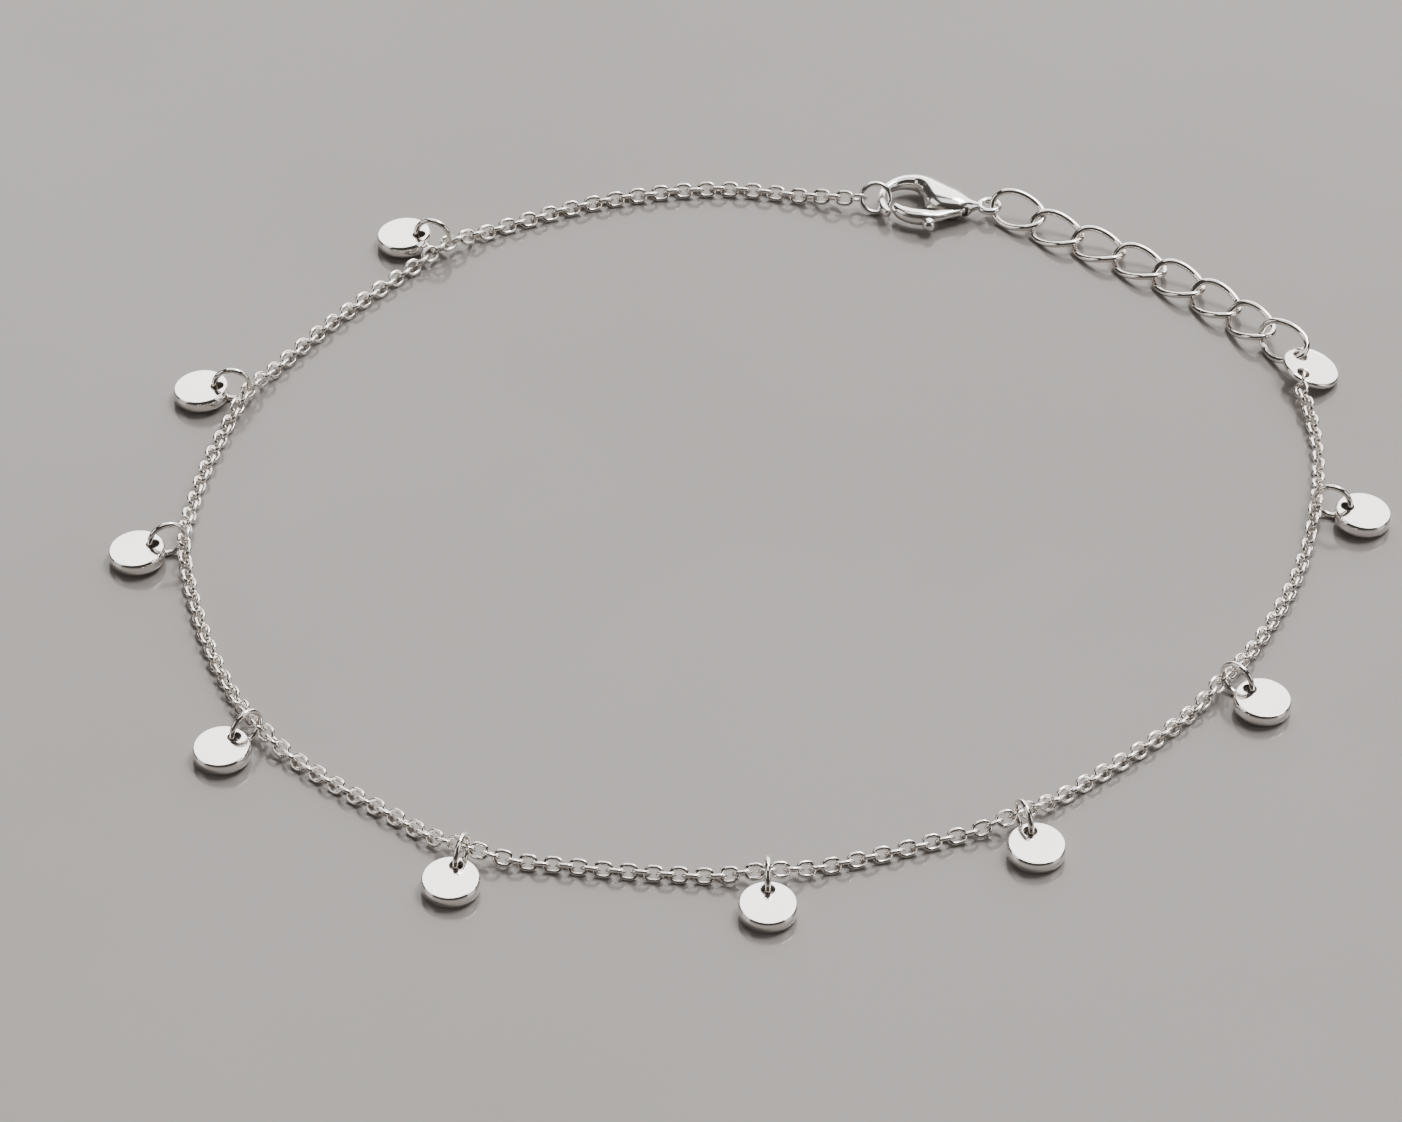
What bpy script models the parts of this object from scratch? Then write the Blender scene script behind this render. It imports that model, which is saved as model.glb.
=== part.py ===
"""Charm anklet: a fine silver chain with nine plain round charms, lying as a closed loop.

Lengths are in millimetres here and in metres in the scene. +X points right, +Y away, +Z up.
"""

import math

import bpy
from mathutils import Euler, Matrix, Vector

MM = 0.001

# Charms: flat round discs, each hung by a drilled hole near its edge
CHARM_RADIUS = 2.0
CHARM_THICKNESS = 1.0
CHARM_FACE_RADIUS = 1.93
CHARM_BOTTOM_ROUND = 0.35
CHARM_TILT = math.radians(6.0)  # the ring in the hole lifts that side
HOLE_RADIUS = 0.5
HOLE_ROUND = 0.2
HOLE_WALL = 0.3  # silver left between the hole and the disc's edge
HOLE_REACH = CHARM_RADIUS - HOLE_WALL - HOLE_RADIUS
CHARM_STEPS = 28
HOLE_STEPS = 12

# Jump rings: each stands upright in the charm's own radial plane
RING_OUTER_RADIUS = 1.45
RING_WIRE = 0.16
RING_MIDDLE = RING_OUTER_RADIUS - RING_WIRE
RING_LEAD = 0.66  # how far past the hole the ring's centre is, as a share of its middle radius
RING_REACH = HOLE_REACH + RING_LEAD * RING_MIDDLE
RING_POINTS = 16

# Fine cable chain, as one tube of the links' own breadth
CHAIN_RADIUS = 0.40
TABLE_CLEARANCE = 0.02
CHAIN_REST = CHAIN_RADIUS + TABLE_CLEARANCE
RING_CLEARANCE = 0.06  # between the chain and the inside of a ring
CROSS_ARM = RING_MIDDLE - RING_WIRE - CHAIN_RADIUS - RING_CLEARANCE
CROSS_DIP = math.radians(26.0)  # the chain rests low on the ring's far side
CROSS_REACH = RING_REACH + CROSS_ARM * math.cos(CROSS_DIP)
CROSS_HEIGHT = RING_OUTER_RADIUS - CROSS_ARM * math.sin(CROSS_DIP)
CROSS_RISE = 4.5  # how far from a ring the chain is back at rest
CROSS_SIDE = 2.4
SAMPLE_STEP = 2.8
FINE_LINK = (0.56, 0.45, 0.0)  # half length and half width of the wire's centre line, twist
FINE_WIRE = 0.115
END_GAP = 0.19  # from an end link's tip to the tube

# Extension chain of twisted oval links
LINK = (2.02, 1.33, -0.32)
LINK_WIRE = 0.20
LINK_POINTS = 16

# Tag disc that ends the extension and joins the fine chain
TAG_RADIUS = 2.1
TAG_THICKNESS = 0.46
TAG_EDGE = 0.18
TAG_HOLE_ROUND = 0.16
TAG_THREAD = (39.073, 19.379, 1.182)  # where the last extension link threads the first hole
TAG_TURN = (0.0, math.radians(18.0), 0.0)
TAG_HOLES = ((0.44, 0.46, 135.0), (0.40, 0.40, 238.0))  # radius, wall, degrees from the right

# Lobster claw, in its own frame: X runs to the eye, Y to the hook's back
CLASP_PLACE = (13.2, 37.9, 0.9)
CLASP_TURN = math.radians(-11.2)
CLASP_FLAT = 0.9
SLOT_HALF = 0.42
CUT_SPARE = 1.0  # how far the cutters stand past what they cut
PIVOT = (2.0, -0.6)
PIN_RADIUS = 0.2
PIN_HALF_LENGTH = 0.7
BORE_RADIUS = 0.27
EYE_PLACE = (4.05, 0.40)
EYE_RADIUS = 0.72
EYE_WIRE = 0.22
TAB_PLACE = (0.10, -2.66, -0.1)
TAB_RADIUS = 0.48
END_RING_RADIUS = 1.06
END_RING_WIRE = 0.19
END_RING_PLACE = (8.92, 38.13, 1.02)
END_RING_LEAN = math.radians(51.0)

# Charm places: centre x, centre y, direction of the hole in degrees
CHARMS = (
    (-25.45, 32.91, -16.0),
    (-39.20, 14.41, -3.0),
    (-42.63, -3.90, 18.0),
    (-35.62, -24.83, 45.0),
    (-19.80, -37.90, 73.0),
    (1.15, -39.96, 91.0),
    (18.97, -33.68, 111.0),
    (34.68, -18.36, 139.0),
    (42.63, 2.05, 164.0),
)

# Where the chain lies between the rings: x, y. One list before each charm, and one after the last
CHAIN_BETWEEN = (
    ((-1.7, 39.7), (-9.1, 38.6), (-16.0, 35.9)),
    ((-27.4, 26.6), (-32.0, 20.6)),
    ((-37.8, 8.7), (-39.0, 3.0)),
    ((-38.3, -9.6), (-36.3, -16.2)),
    ((-29.0, -27.0), (-24.1, -30.9)),
    ((-12.2, -35.9), (-5.6, -36.6)),
    ((6.9, -35.0), (12.4, -32.9)),
    ((23.1, -26.2), (28.0, -21.5)),
    ((35.5, -10.2), (38.0, -3.8)),
    ((39.9, 8.5), (39.7, 12.6)),
)

# The fine chain's end links point away from what they hang on: heading, lean, pitch in degrees
CLASP_LINK_TURN = (175.0, 58.4, 7.5)
TAG_LINK_TURN = (-99.6, 78.1, 4.1)
TAG_LINK_SIDE = 246.6  # where it leaves the tag, in degrees from the right
LINK_CLEARANCE = 0.035
END_DROP = 0.12  # the chain's ends lie this much lower than the end links

# Extension links from the claw's eye to the tag: x, y, z, heading, lean, pitch in degrees
EXTENSION = (
    (19.30, 36.68, 1.08, -28.7, 33.1, 4.0),
    (22.08, 34.73, 0.80, -32.5, 17.9, 1.3),
    (25.10, 32.88, 0.77, -33.7, 13.9, 0.4),
    (28.04, 30.90, 0.74, -35.0, 12.6, 1.5),
    (30.76, 28.79, 0.81, -40.1, 17.0, 1.1),
    (33.35, 26.42, 0.83, -45.9, 17.3, 0.6),
    (35.76, 23.76, 0.93, -51.9, 18.7, -1.9),
    (37.96, 21.07, 1.31, -45.0, 46.8, -2.5),
)

# Claw body from its neck round the hook to the tip: x, y, half width, half height
CLAW_BODY = (
    (3.24, 0.29, 0.30, 0.26),
    (2.85, 0.14, 0.50, 0.46),
    (2.20, -0.02, 0.93, 0.78),
    (1.40, 0.03, 1.25, 0.96),
    (0.60, 0.32, 1.31, 1.00),
    (-0.10, 0.94, 1.05, 0.98),
    (-0.75, 1.60, 0.78, 0.84),
    (-1.60, 2.02, 0.57, 0.66),
    (-2.60, 1.86, 0.47, 0.55),
    (-3.35, 1.28, 0.39, 0.46),
    (-3.80, 0.45, 0.33, 0.39),
    (-3.86, -0.35, 0.32, 0.37),
    (-3.68, -1.08, 0.33, 0.37),
    (-3.32, -1.62, 0.31, 0.35),
)

# Lever from behind its pivot to its free end: x, y, half width, half height
CLAW_LEVER = (
    (2.32, -0.50, 0.24, 0.30),
    (2.00, -0.62, 0.46, 0.33),
    (1.30, -1.05, 0.48, 0.34),
    (0.50, -1.62, 0.49, 0.36),
    (-0.40, -2.00, 0.48, 0.50),
    (-1.30, -2.06, 0.45, 0.52),
    (-2.05, -1.84, 0.41, 0.48),
    (-2.50, -1.50, 0.35, 0.42),
    (-2.62, -1.24, 0.27, 0.36),
)

# Slot that the lever turns in: x, y round its edge
CLAW_SLOT = ((2.66, -3.2), (2.66, -0.12), (1.9, -0.08), (-1.3, -0.22), (-1.3, -3.2))


def clear_scene():
    for obj in list(bpy.data.objects):
        bpy.data.objects.remove(obj, do_unlink=True)


def collection(name, hidden=False):
    made = bpy.data.collections.new(name)
    bpy.context.scene.collection.children.link(made)
    made.hide_render = hidden
    return made


def silver(name, roughness, shade):
    made = bpy.data.materials.new(name)
    made.use_nodes = True
    shader = made.node_tree.nodes["Principled BSDF"]
    shader.inputs["Base Color"].default_value = (shade, shade * 0.985, shade * 0.965, 1.0)
    shader.inputs["Metallic"].default_value = 1.0
    shader.inputs["Roughness"].default_value = roughness
    return made


def place(obj, group, at=(0.0, 0.0, 0.0), turn=None, parent=None):
    group.objects.link(obj)
    obj.location = Vector(at) * MM
    if turn is not None:
        obj.rotation_euler = turn
    obj.parent = parent
    return obj


def mesh_object(name, points, faces, smooth=True):
    mesh = bpy.data.meshes.new(name)
    mesh.from_pydata([Vector(p) * MM for p in points], [], faces)
    mesh.validate()
    if smooth:
        mesh.shade_smooth()
    return bpy.data.objects.new(name, mesh)


def turned(name, profile, steps):
    """A solid of revolution about Z. The profile runs down its outer side, from axis to axis."""
    edges = [(i, i + 1) for i in range(len(profile) - 1)]
    mesh = bpy.data.meshes.new(name)
    mesh.from_pydata([Vector((r, 0.0, z)) * MM for r, z in profile], edges, [])
    obj = bpy.data.objects.new(name, mesh)
    screw = obj.modifiers.new("turn", "SCREW")
    screw.steps = steps
    screw.render_steps = steps
    screw.use_merge_vertices = True
    screw.merge_threshold = 1e-6
    return obj


def wire(name, points, radius, closed=True, resolution=1):
    """A round wire through the points, with 4 + 2 * resolution sides."""
    curve = bpy.data.curves.new(name, "CURVE")
    curve.dimensions = "3D"
    curve.bevel_depth = radius * MM
    curve.bevel_resolution = resolution
    curve.use_fill_caps = not closed
    line = curve.splines.new("POLY")
    line.points.add(len(points) - 1)
    for point, at in zip(line.points, points):
        point.co = (*(Vector(at) * MM), 1.0)
    line.use_cyclic_u = closed
    line.use_smooth = True
    return bpy.data.objects.new(name, curve)


def oval(half_length, half_width, twist, count=LINK_POINTS):
    """Centre line of a link. A twist lifts one half of each long side and lowers the other."""
    angles = [2 * math.pi * i / count for i in range(count)]
    return [
        (half_length * math.cos(a), half_width * math.sin(a), twist * math.sin(2 * a))
        for a in angles
    ]


def link_turn(heading, lean, pitch):
    turn = (
        Matrix.Rotation(math.radians(heading), 3, "Z")
        @ Matrix.Rotation(math.radians(pitch), 3, "Y")
        @ Matrix.Rotation(math.radians(lean), 3, "X")
    )
    return turn.to_euler()


def rounded_hole(radius, thickness, edge):
    """Profile of a cutter that leaves a hole with rounded rims in a plate standing on z = 0."""
    rows = [(0.0, thickness + 0.4), (radius + edge + 0.1, thickness + 0.4)]
    steps = 3
    for i in range(steps + 1):
        angle = math.pi / 2 * i / steps
        across = radius + edge * (1 - math.sin(angle))
        rows.append((across, thickness - edge * (1 - math.cos(angle))))
    low = [(r, thickness - z) for r, z in reversed(rows)]
    return rows + low


def flat(reach, angle):
    at = math.radians(angle)
    return Vector((reach * math.cos(at), reach * math.sin(at), 0.0))


def tag_centre():
    """The tag hangs by its first hole, so its centre follows from where that hole is threaded."""
    radius, wall, angle = TAG_HOLES[0]
    return Vector(TAG_THREAD) - Euler(TAG_TURN).to_matrix() @ flat(TAG_RADIUS - wall - radius, angle)


def fine_ends():
    """The two end links: name, place and turn, each hung on its ring or hole."""
    half_length = FINE_LINK[0]
    reach = END_RING_RADIUS - END_RING_WIRE - LINK_CLEARANCE - FINE_WIRE + half_length
    at_clasp = Vector(END_RING_PLACE) + flat(reach, CLASP_LINK_TURN[0] + 4.0)
    radius, wall, _ = TAG_HOLES[1]
    reach = TAG_RADIUS - wall - radius + half_length - FINE_WIRE
    at_tag = tag_centre() + Euler(TAG_TURN).to_matrix() @ flat(reach, TAG_LINK_SIDE)
    return (
        ("chain_link_at_clasp", at_clasp, CLASP_LINK_TURN),
        ("chain_link_at_tag", at_tag, TAG_LINK_TURN),
    )


def chain_ends():
    """Where the chain's tube starts and ends: just clear of the two end links."""
    reach = FINE_LINK[0] + FINE_WIRE + END_GAP
    return [at + flat(reach, turn[0]) - Vector((0, 0, END_DROP)) for _, at, turn in fine_ends()]


def joined(obj, operation, other):
    cut = obj.modifiers.new(operation.lower(), "BOOLEAN")
    cut.operation = operation
    cut.solver = "EXACT"
    cut.object = other


def finished_mesh(obj, name):
    """The object's mesh with its modifiers applied, for copies to share."""
    bpy.context.view_layer.update()
    mesh = bpy.data.meshes.new_from_object(obj.evaluated_get(bpy.context.evaluated_depsgraph_get()))
    mesh.name = name
    return mesh


def charm_mesh(helpers):
    base = CHARM_RADIUS - CHARM_BOTTOM_ROUND
    profile = [(0.0, CHARM_THICKNESS), (CHARM_FACE_RADIUS, CHARM_THICKNESS)]
    profile += [(CHARM_RADIUS - 0.02, CHARM_THICKNESS - 0.14), (CHARM_RADIUS, CHARM_THICKNESS - 0.3)]
    for i in range(4):
        angle = math.pi / 2 * i / 3
        across = base + CHARM_BOTTOM_ROUND * math.cos(angle)
        profile.append((across, CHARM_BOTTOM_ROUND * (1 - math.sin(angle))))
    profile.append((0.0, 0.0))
    disc = place(turned("charm_blank", profile, CHARM_STEPS), helpers)
    cutter = turned("charm_hole", rounded_hole(HOLE_RADIUS, CHARM_THICKNESS, HOLE_ROUND), HOLE_STEPS)
    place(cutter, helpers, (HOLE_REACH, 0.0, 0.0))
    joined(disc, "DIFFERENCE", cutter)
    mesh = finished_mesh(disc, "charm")
    bpy.data.objects.remove(disc)
    return mesh


def tag_mesh(helpers):
    half = TAG_THICKNESS / 2
    profile = [(0.0, half), (TAG_RADIUS - TAG_EDGE, half), (TAG_RADIUS - 0.05, half - 0.05)]
    profile += [(TAG_RADIUS, half - TAG_EDGE)]
    profile += [(r, -z) for r, z in reversed(profile)]
    disc = place(turned("tag_blank", profile, CHARM_STEPS), helpers)
    for radius, wall, angle in TAG_HOLES:
        rim = rounded_hole(radius, TAG_THICKNESS, TAG_HOLE_ROUND)
        cutter = turned("tag_hole", rim, HOLE_STEPS)
        place(cutter, helpers, flat(TAG_RADIUS - wall - radius, angle) - Vector((0, 0, half)))
        joined(disc, "DIFFERENCE", cutter)
    mesh = finished_mesh(disc, "tag")
    bpy.data.objects.remove(disc)
    return mesh


def lofted(name, rows, sides=14, square=0.86):
    """A bent bar through the rows, with rounded-square sections and domed ends."""
    first, last = rows[0], rows[-1]
    lead = Vector(first[:2]) - Vector(rows[1][:2])
    trail = Vector(last[:2]) - Vector(rows[-2][:2])
    lead.normalize()
    trail.normalize()

    def domed(row, way):
        x, y = Vector(row[:2]) + way * row[2] * 0.55
        return (x, y, row[2] * 0.55, row[3] * 0.6)

    rows = (domed(first, lead), *rows, domed(last, trail))
    points = []
    for i, (x, y, width, height) in enumerate(rows):
        before = Vector(rows[max(i - 1, 0)][:2])
        after = Vector(rows[min(i + 1, len(rows) - 1)][:2])
        along = (after - before).normalized()
        across = Vector((-along.y, along.x))
        for k in range(sides):
            angle = 2 * math.pi * k / sides
            c, s = math.cos(angle), math.sin(angle)
            out = math.copysign(abs(c) ** square, c) * width
            up = math.copysign(abs(s) ** square, s) * height
            points.append((x + across.x * out, y + across.y * out, up))
    faces = []
    for i in range(len(rows) - 1):
        for k in range(sides):
            n = (k + 1) % sides
            a, b = i * sides, (i + 1) * sides
            faces.append((a + k, a + n, b + n, b + k))
    faces.append(tuple(reversed(range(sides))))
    faces.append(tuple(range((len(rows) - 1) * sides, len(rows) * sides)))
    return mesh_object(name, points, faces)


def prism(name, outline, half_height):
    count = len(outline)
    points = [(x, y, -half_height) for x, y in outline] + [(x, y, half_height) for x, y in outline]
    faces = [(k, (k + 1) % count, count + (k + 1) % count, count + k) for k in range(count)]
    faces.append(tuple(reversed(range(count))))
    faces.append(tuple(range(count, 2 * count)))
    return outward(mesh_object(name, points, faces, smooth=False))


def outward(obj):
    """Turns every face out, whichever way round the outline ran."""
    mesh = obj.data
    volume = 0.0
    for face in mesh.polygons:
        volume += face.center.dot(face.normal) * face.area
    if volume < 0:
        mesh.flip_normals()
    return obj


def round_bar(name, radius, half_height, sides):
    corner = [2 * math.pi * k / sides for k in range(sides)]
    return prism(name, [(radius * math.cos(a), radius * math.sin(a)) for a in corner], half_height)


def eye_ring(name, radius, thickness, around=16, sides=8):
    points = []
    faces = []
    for i in range(around):
        a = 2 * math.pi * i / around
        for k in range(sides):
            b = 2 * math.pi * k / sides
            r = radius + thickness * math.cos(b)
            points.append((r * math.cos(a), r * math.sin(a), thickness * math.sin(b)))
    for i in range(around):
        for k in range(sides):
            a, b = i * sides, (i + 1) % around * sides
            n = (k + 1) % sides
            faces.append((a + k, b + k, b + n, a + n))
    return outward(mesh_object(name, points, faces))


def knob(name, radius, around=10, rings=6):
    profile = [(radius * math.sin(math.pi * i / rings), radius * math.cos(math.pi * i / rings))
               for i in range(rings + 1)]
    return turned(name, profile, around)


def add_charms(group, helpers, root, material):
    mesh = charm_mesh(helpers)
    lift = CHARM_BOTTOM_ROUND * (1 - math.cos(CHARM_TILT))
    lift += (CHARM_RADIUS - CHARM_BOTTOM_ROUND) * math.sin(CHARM_TILT)
    for number, (x, y, hole) in enumerate(CHARMS, 1):
        disc = bpy.data.objects.new(f"charm_{number}", mesh)
        place(disc, group, (x, y, lift), Euler((0, -CHARM_TILT, math.radians(hole))), root)
    mesh.materials.append(material)


def add_jump_rings(group, root, material):
    middle = RING_OUTER_RADIUS - RING_WIRE
    angles = [2 * math.pi * (i + 0.5) / RING_POINTS for i in range(RING_POINTS)]
    circle = [(middle * math.cos(a), 0.0, middle * math.sin(a)) for a in angles]
    for number, (x, y, hole) in enumerate(CHARMS, 1):
        a = math.radians(hole)
        at = (x + RING_REACH * math.cos(a), y + RING_REACH * math.sin(a), RING_OUTER_RADIUS)
        ring = wire(f"jump_ring_{number}", circle, RING_WIRE)
        place(ring, group, at, Euler((0, 0, a)), root)
        ring.data.materials.append(material)


def chain_rows():
    """Points on the chain's way round: x, y, and whether the chain is inside a ring there."""
    start, end = chain_ends()
    rows = [(start.xy, False)]
    for number, (x, y, hole) in enumerate(CHARMS):
        before = [Vector(p) for p in CHAIN_BETWEEN[number]]
        after = Vector(CHAIN_BETWEEN[number + 1][0])
        rows += [(p, False) for p in before]
        a = math.radians(hole)
        cross = Vector((x, y)) + CROSS_REACH * Vector((math.cos(a), math.sin(a)))
        run = (after - before[-1]).normalized()
        square = Vector((-math.sin(a), math.cos(a)))
        if square.dot(run) < 0:
            square.negate()
        way = (run + square).normalized()
        rows += [(cross - way * CROSS_SIDE, False), (cross, True), (cross + way * CROSS_SIDE, False)]
    rows += [(Vector(p), False) for p in CHAIN_BETWEEN[-1]]
    rows.append((end.xy, False))
    return rows


def smooth_route(rows):
    """Catmull-Rom points through the rows, with the height that each place asks for."""
    spots = [p for p, _ in rows]
    rings = [p for p, inside in rows if inside]
    padded = [2 * spots[0] - spots[1], *spots, 2 * spots[-1] - spots[-2]]
    line = []
    for i in range(1, len(padded) - 2):
        a, b, c, d = padded[i - 1 : i + 3]
        pieces = max(1, round((c - b).length / SAMPLE_STEP))
        for k in range(pieces):
            t = k / pieces
            spot = b + t * (c - a) / 2
            spot += t**2 * (2 * a - 5 * b + 4 * c - d) / 2
            spot += t**3 * (3 * b - a - 3 * c + d) / 2
            line.append(spot)
    line.append(spots[-1])
    ends = [(end.xy, end.z) for end in chain_ends()]
    points = []
    for spot in line:
        height = CHAIN_REST
        for ring in rings:
            height += swell((spot - ring).length) * (CROSS_HEIGHT - CHAIN_REST)
        for end, top in ends:
            height += swell((spot - end).length) * (top - CHAIN_REST)
        points.append((*spot, height))
    return points


def swell(distance):
    if distance >= CROSS_RISE:
        return 0.0
    return 0.5 + 0.5 * math.cos(math.pi * distance / CROSS_RISE)


def add_chain(group, root, material):
    chain = wire("fine_chain", smooth_route(chain_rows()), CHAIN_RADIUS, closed=False, resolution=2)
    place(chain, group, parent=root)
    chain.data.materials.append(material)
    for name, at, turn in fine_ends():
        link = wire(name, oval(*FINE_LINK, count=12), FINE_WIRE)
        place(link, group, at, link_turn(*turn), root)
        link.data.materials.append(material)


def add_extension(group, helpers, root, material):
    for number, (x, y, z, *turn) in enumerate(EXTENSION, 1):
        link = wire(f"extension_link_{number}", oval(*LINK), LINK_WIRE)
        place(link, group, (x, y, z), link_turn(*turn), root)
        link.data.materials.append(material)
    tag = bpy.data.objects.new("tag_disc", tag_mesh(helpers))
    place(tag, group, tag_centre(), Euler(TAG_TURN), root)
    tag.data.materials.append(material)


def add_clasp(group, helpers, root, body_material, lever_material):
    clasp = bpy.data.objects.new("clasp_frame", None)
    place(clasp, group, CLASP_PLACE, Euler((0, 0, CLASP_TURN)), root)
    body = place(outward(lofted("clasp_body", CLAW_BODY)), group, parent=clasp)
    body.data.materials.append(body_material)
    slot = place(prism("lever_slot", CLAW_SLOT, SLOT_HALF), helpers, parent=clasp)
    far = max(math.hypot(x, y) + width for x, y, width, _ in CLAW_BODY) + CUT_SPARE
    ground = prism("ground_flat", ((-far, -far), (far, -far), (far, far), (-far, far)), CUT_SPARE)
    place(ground, helpers, (0, 0, -CLASP_FLAT - CUT_SPARE), parent=clasp)
    pin = round_bar("pin", PIN_RADIUS, PIN_HALF_LENGTH, 12)
    place(pin, helpers, (*PIVOT, 0), parent=clasp)
    eye = place(eye_ring("eye", EYE_RADIUS, EYE_WIRE), helpers, (*EYE_PLACE, 0), parent=clasp)
    joined(body, "DIFFERENCE", slot)
    joined(body, "DIFFERENCE", ground)
    joined(body, "UNION", pin)
    joined(body, "UNION", eye)

    rows = [(x - PIVOT[0], y - PIVOT[1], w, h) for x, y, w, h in CLAW_LEVER]
    lever = place(outward(lofted("clasp_lever", rows)), group, (*PIVOT, 0), parent=clasp)
    lever.data.materials.append(lever_material)
    bore = round_bar("lever_bore", BORE_RADIUS, CUT_SPARE, 16)
    place(bore, helpers, (*PIVOT, 0), parent=clasp)
    tab = place(knob("thumb_tab", TAB_RADIUS), helpers, TAB_PLACE, parent=clasp)
    joined(lever, "UNION", tab)
    joined(lever, "DIFFERENCE", bore)

    angles = [2 * math.pi * i / RING_POINTS for i in range(RING_POINTS)]
    circle = [(END_RING_RADIUS * math.cos(a), END_RING_RADIUS * math.sin(a), 0.0) for a in angles]
    ring = wire("end_ring", circle, END_RING_WIRE)
    place(ring, group, END_RING_PLACE, Euler((END_RING_LEAN, 0, 0)), root)
    ring.data.materials.append(body_material)


def centre_on_ground(root, group):
    """Moves the whole anklet so that the origin is under the middle of its outer box."""
    bpy.context.view_layer.update()
    graph = bpy.context.evaluated_depsgraph_get()
    low, high = Vector((1, 1, 1)), Vector((-1, -1, -1))
    for obj in group.objects:
        if obj.type == "EMPTY":
            continue
        mesh = obj.evaluated_get(graph).to_mesh()
        for vertex in mesh.vertices:
            at = obj.matrix_world @ vertex.co
            low = Vector(map(min, low, at))
            high = Vector(map(max, high, at))
        obj.evaluated_get(graph).to_mesh_clear()
    root.location = (-(low.x + high.x) / 2, -(low.y + high.y) / 2, -low.z)


def main():
    clear_scene()
    group = collection("charm_anklet")
    helpers = collection("cutters", hidden=True)
    root = place(bpy.data.objects.new("anklet_frame", None), group)
    polished = silver("polished_silver", 0.10, 0.93)
    drawn = silver("drawn_silver", 0.16, 0.90)
    cast = silver("cast_silver", 0.18, 0.90)
    sprung = silver("lever_silver", 0.20, 0.88)
    add_charms(group, helpers, root, polished)
    add_jump_rings(group, root, drawn)
    add_chain(group, root, drawn)
    add_extension(group, helpers, root, drawn)
    add_clasp(group, helpers, root, cast, sprung)
    for helper in helpers.objects:
        helper.hide_render = True
        helper.display_type = "WIRE"
    centre_on_ground(root, group)


main()
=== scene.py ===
"""Looks of the charm anklet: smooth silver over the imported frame, real chain links, light and camera."""

import math
import random

import bmesh
import bpy
from mathutils import Euler, Matrix, Vector


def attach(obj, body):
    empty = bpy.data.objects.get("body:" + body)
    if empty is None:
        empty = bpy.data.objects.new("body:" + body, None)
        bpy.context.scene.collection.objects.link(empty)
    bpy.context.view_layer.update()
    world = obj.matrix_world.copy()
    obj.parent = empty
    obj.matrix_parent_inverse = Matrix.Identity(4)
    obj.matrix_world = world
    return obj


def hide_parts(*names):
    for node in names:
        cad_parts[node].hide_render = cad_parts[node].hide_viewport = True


MM = 0.001
SHIFT = Vector((-0.0028, 0.6456, 0.0))  # from the layout's numbers to the frame's origin

CHARM_RADIUS = 2.0
CHARM_THICKNESS = 1.0
CHARM_FACE_RADIUS = 1.878
CHARM_RIM_ROUND = 0.03
CHARM_BOTTOM_ROUND = 0.35
CHARM_WAIST = 0.12  # the side is straight from the rounded foot up to here
CHARM_TILT = math.radians(6.0)
# Charm's side from its rim down: how far inside the full radius, how far below the face
CHARM_SIDE = ((0.092, 0.045), (0.052, 0.135), (0.020, 0.215), (0.006, 0.295), (0.001, 0.38))
FACE_ROWS = (1.2, 1.75)  # rows of points inside the flat face
FOOT_ROW = 1.2
PLATE_SIDES = 112

HOLE_RADIUS = 0.46
HOLE_ROUND = 0.06
HOLE_FLARE = 0.74  # the hole opens below, where the ring turns out under the disc
HOLE_BELL = 0.62  # part of the thickness that the flare takes
HOLE_REACH = 1.17
HOLE_SIDES = 48
HOLE_ROUND_STEPS = 6
CUT_SPARE = 0.4  # how far a hole's cutter stands out of the plate
CUT_MARGIN = 0.1
# Faces that count as a hole's wall get a darker silver, painted shade inside the hole
WALL_ROUND = 0.4  # part of a hole's rounded rim that counts as its wall
WALL_STEEP = 0.9  # faces in the flare are wall if their normal rises less than this

RING_OUTER_RADIUS = 1.45
RING_WIRE = 0.205
RING_REACH = 2.15
RING_THREAD = math.radians(68.0)  # where on the ring, up from its foot, the chain hangs
WIRE_STEPS = 72  # points along a ring or an extension link

LINK_HALF_LENGTH = 0.590
LINK_HALF_WIDTH = 0.455
LINK_CORNER = 0.43
LINK_CORNER_STEPS = 4
LINK_WIRE = 0.153
LINK_WIRE_SIDES = 6
LINK_PITCH = 0.87
LINK_LEAN = 45.0  # degrees, to one side and the other in turn
LINK_SWAY = 6.0  # degrees, at random
CHAIN_REST = 0.46
CHAIN_SEED = 7
CHAIN_PIECES = 8  # smooth pieces between two points of the chain's way
CROSS_RISE = 4.2  # the chain rises to a ring over this length

# The chain's two end links: half length, half width, twist
END_LINK = (0.57, 0.45, 0.0)
END_LINK_WIRE = 0.128
END_LINK_STEPS = 40
END_LINK_SIDES = 12

# Extension links: half length, half width, twist
LINK = (2.02, 1.33, -0.32)
EXTENSION_WIRE = 0.232
TAG_RADIUS = 2.1
TAG_THICKNESS = 0.46
TAG_EDGE = 0.18
TAG_HOLE_ROUND = 0.16
TAG_PLACE = (39.88, 18.53, 0.92)
TAG_TURN = (0.0, math.radians(18.0), 0.0)
TAG_HOLES = ((0.44, 1.2, 135.0), (0.40, 1.3, 238.0))

CLASP_PLACE = (13.2, 37.9, 0.9)
CLASP_TURN = math.radians(-11.2)
CLASP_FLAT = 0.9  # depth of the flat underside below the middle
CLASP_EDGE = 0.05
FLAT_CUT = ((-6, -5), (6, -5), (6, 5), (-6, 5))
FLAT_CUT_HALF = 1.0
SLOT_HALF = 0.42
PIVOT = (2.0, -0.6)
PIN_RADIUS = 0.2
PIN_HALF_LENGTH = 0.72
BORE_RADIUS = 0.27
BORE_HALF_LENGTH = 1.0
BAR_SIDES = 32
EYE_PLACE = (4.05, 0.40)
EYE_RADIUS = 0.70
EYE_WIRE = 0.25
EYE_STEPS = 64
EYE_SIDES = 20
LEVER_EDGE = 0.04
TAB_PLACE = (0.10, -2.66, -0.1)
TAB_RADIUS = 0.48
TAB_STEPS = 20
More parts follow.
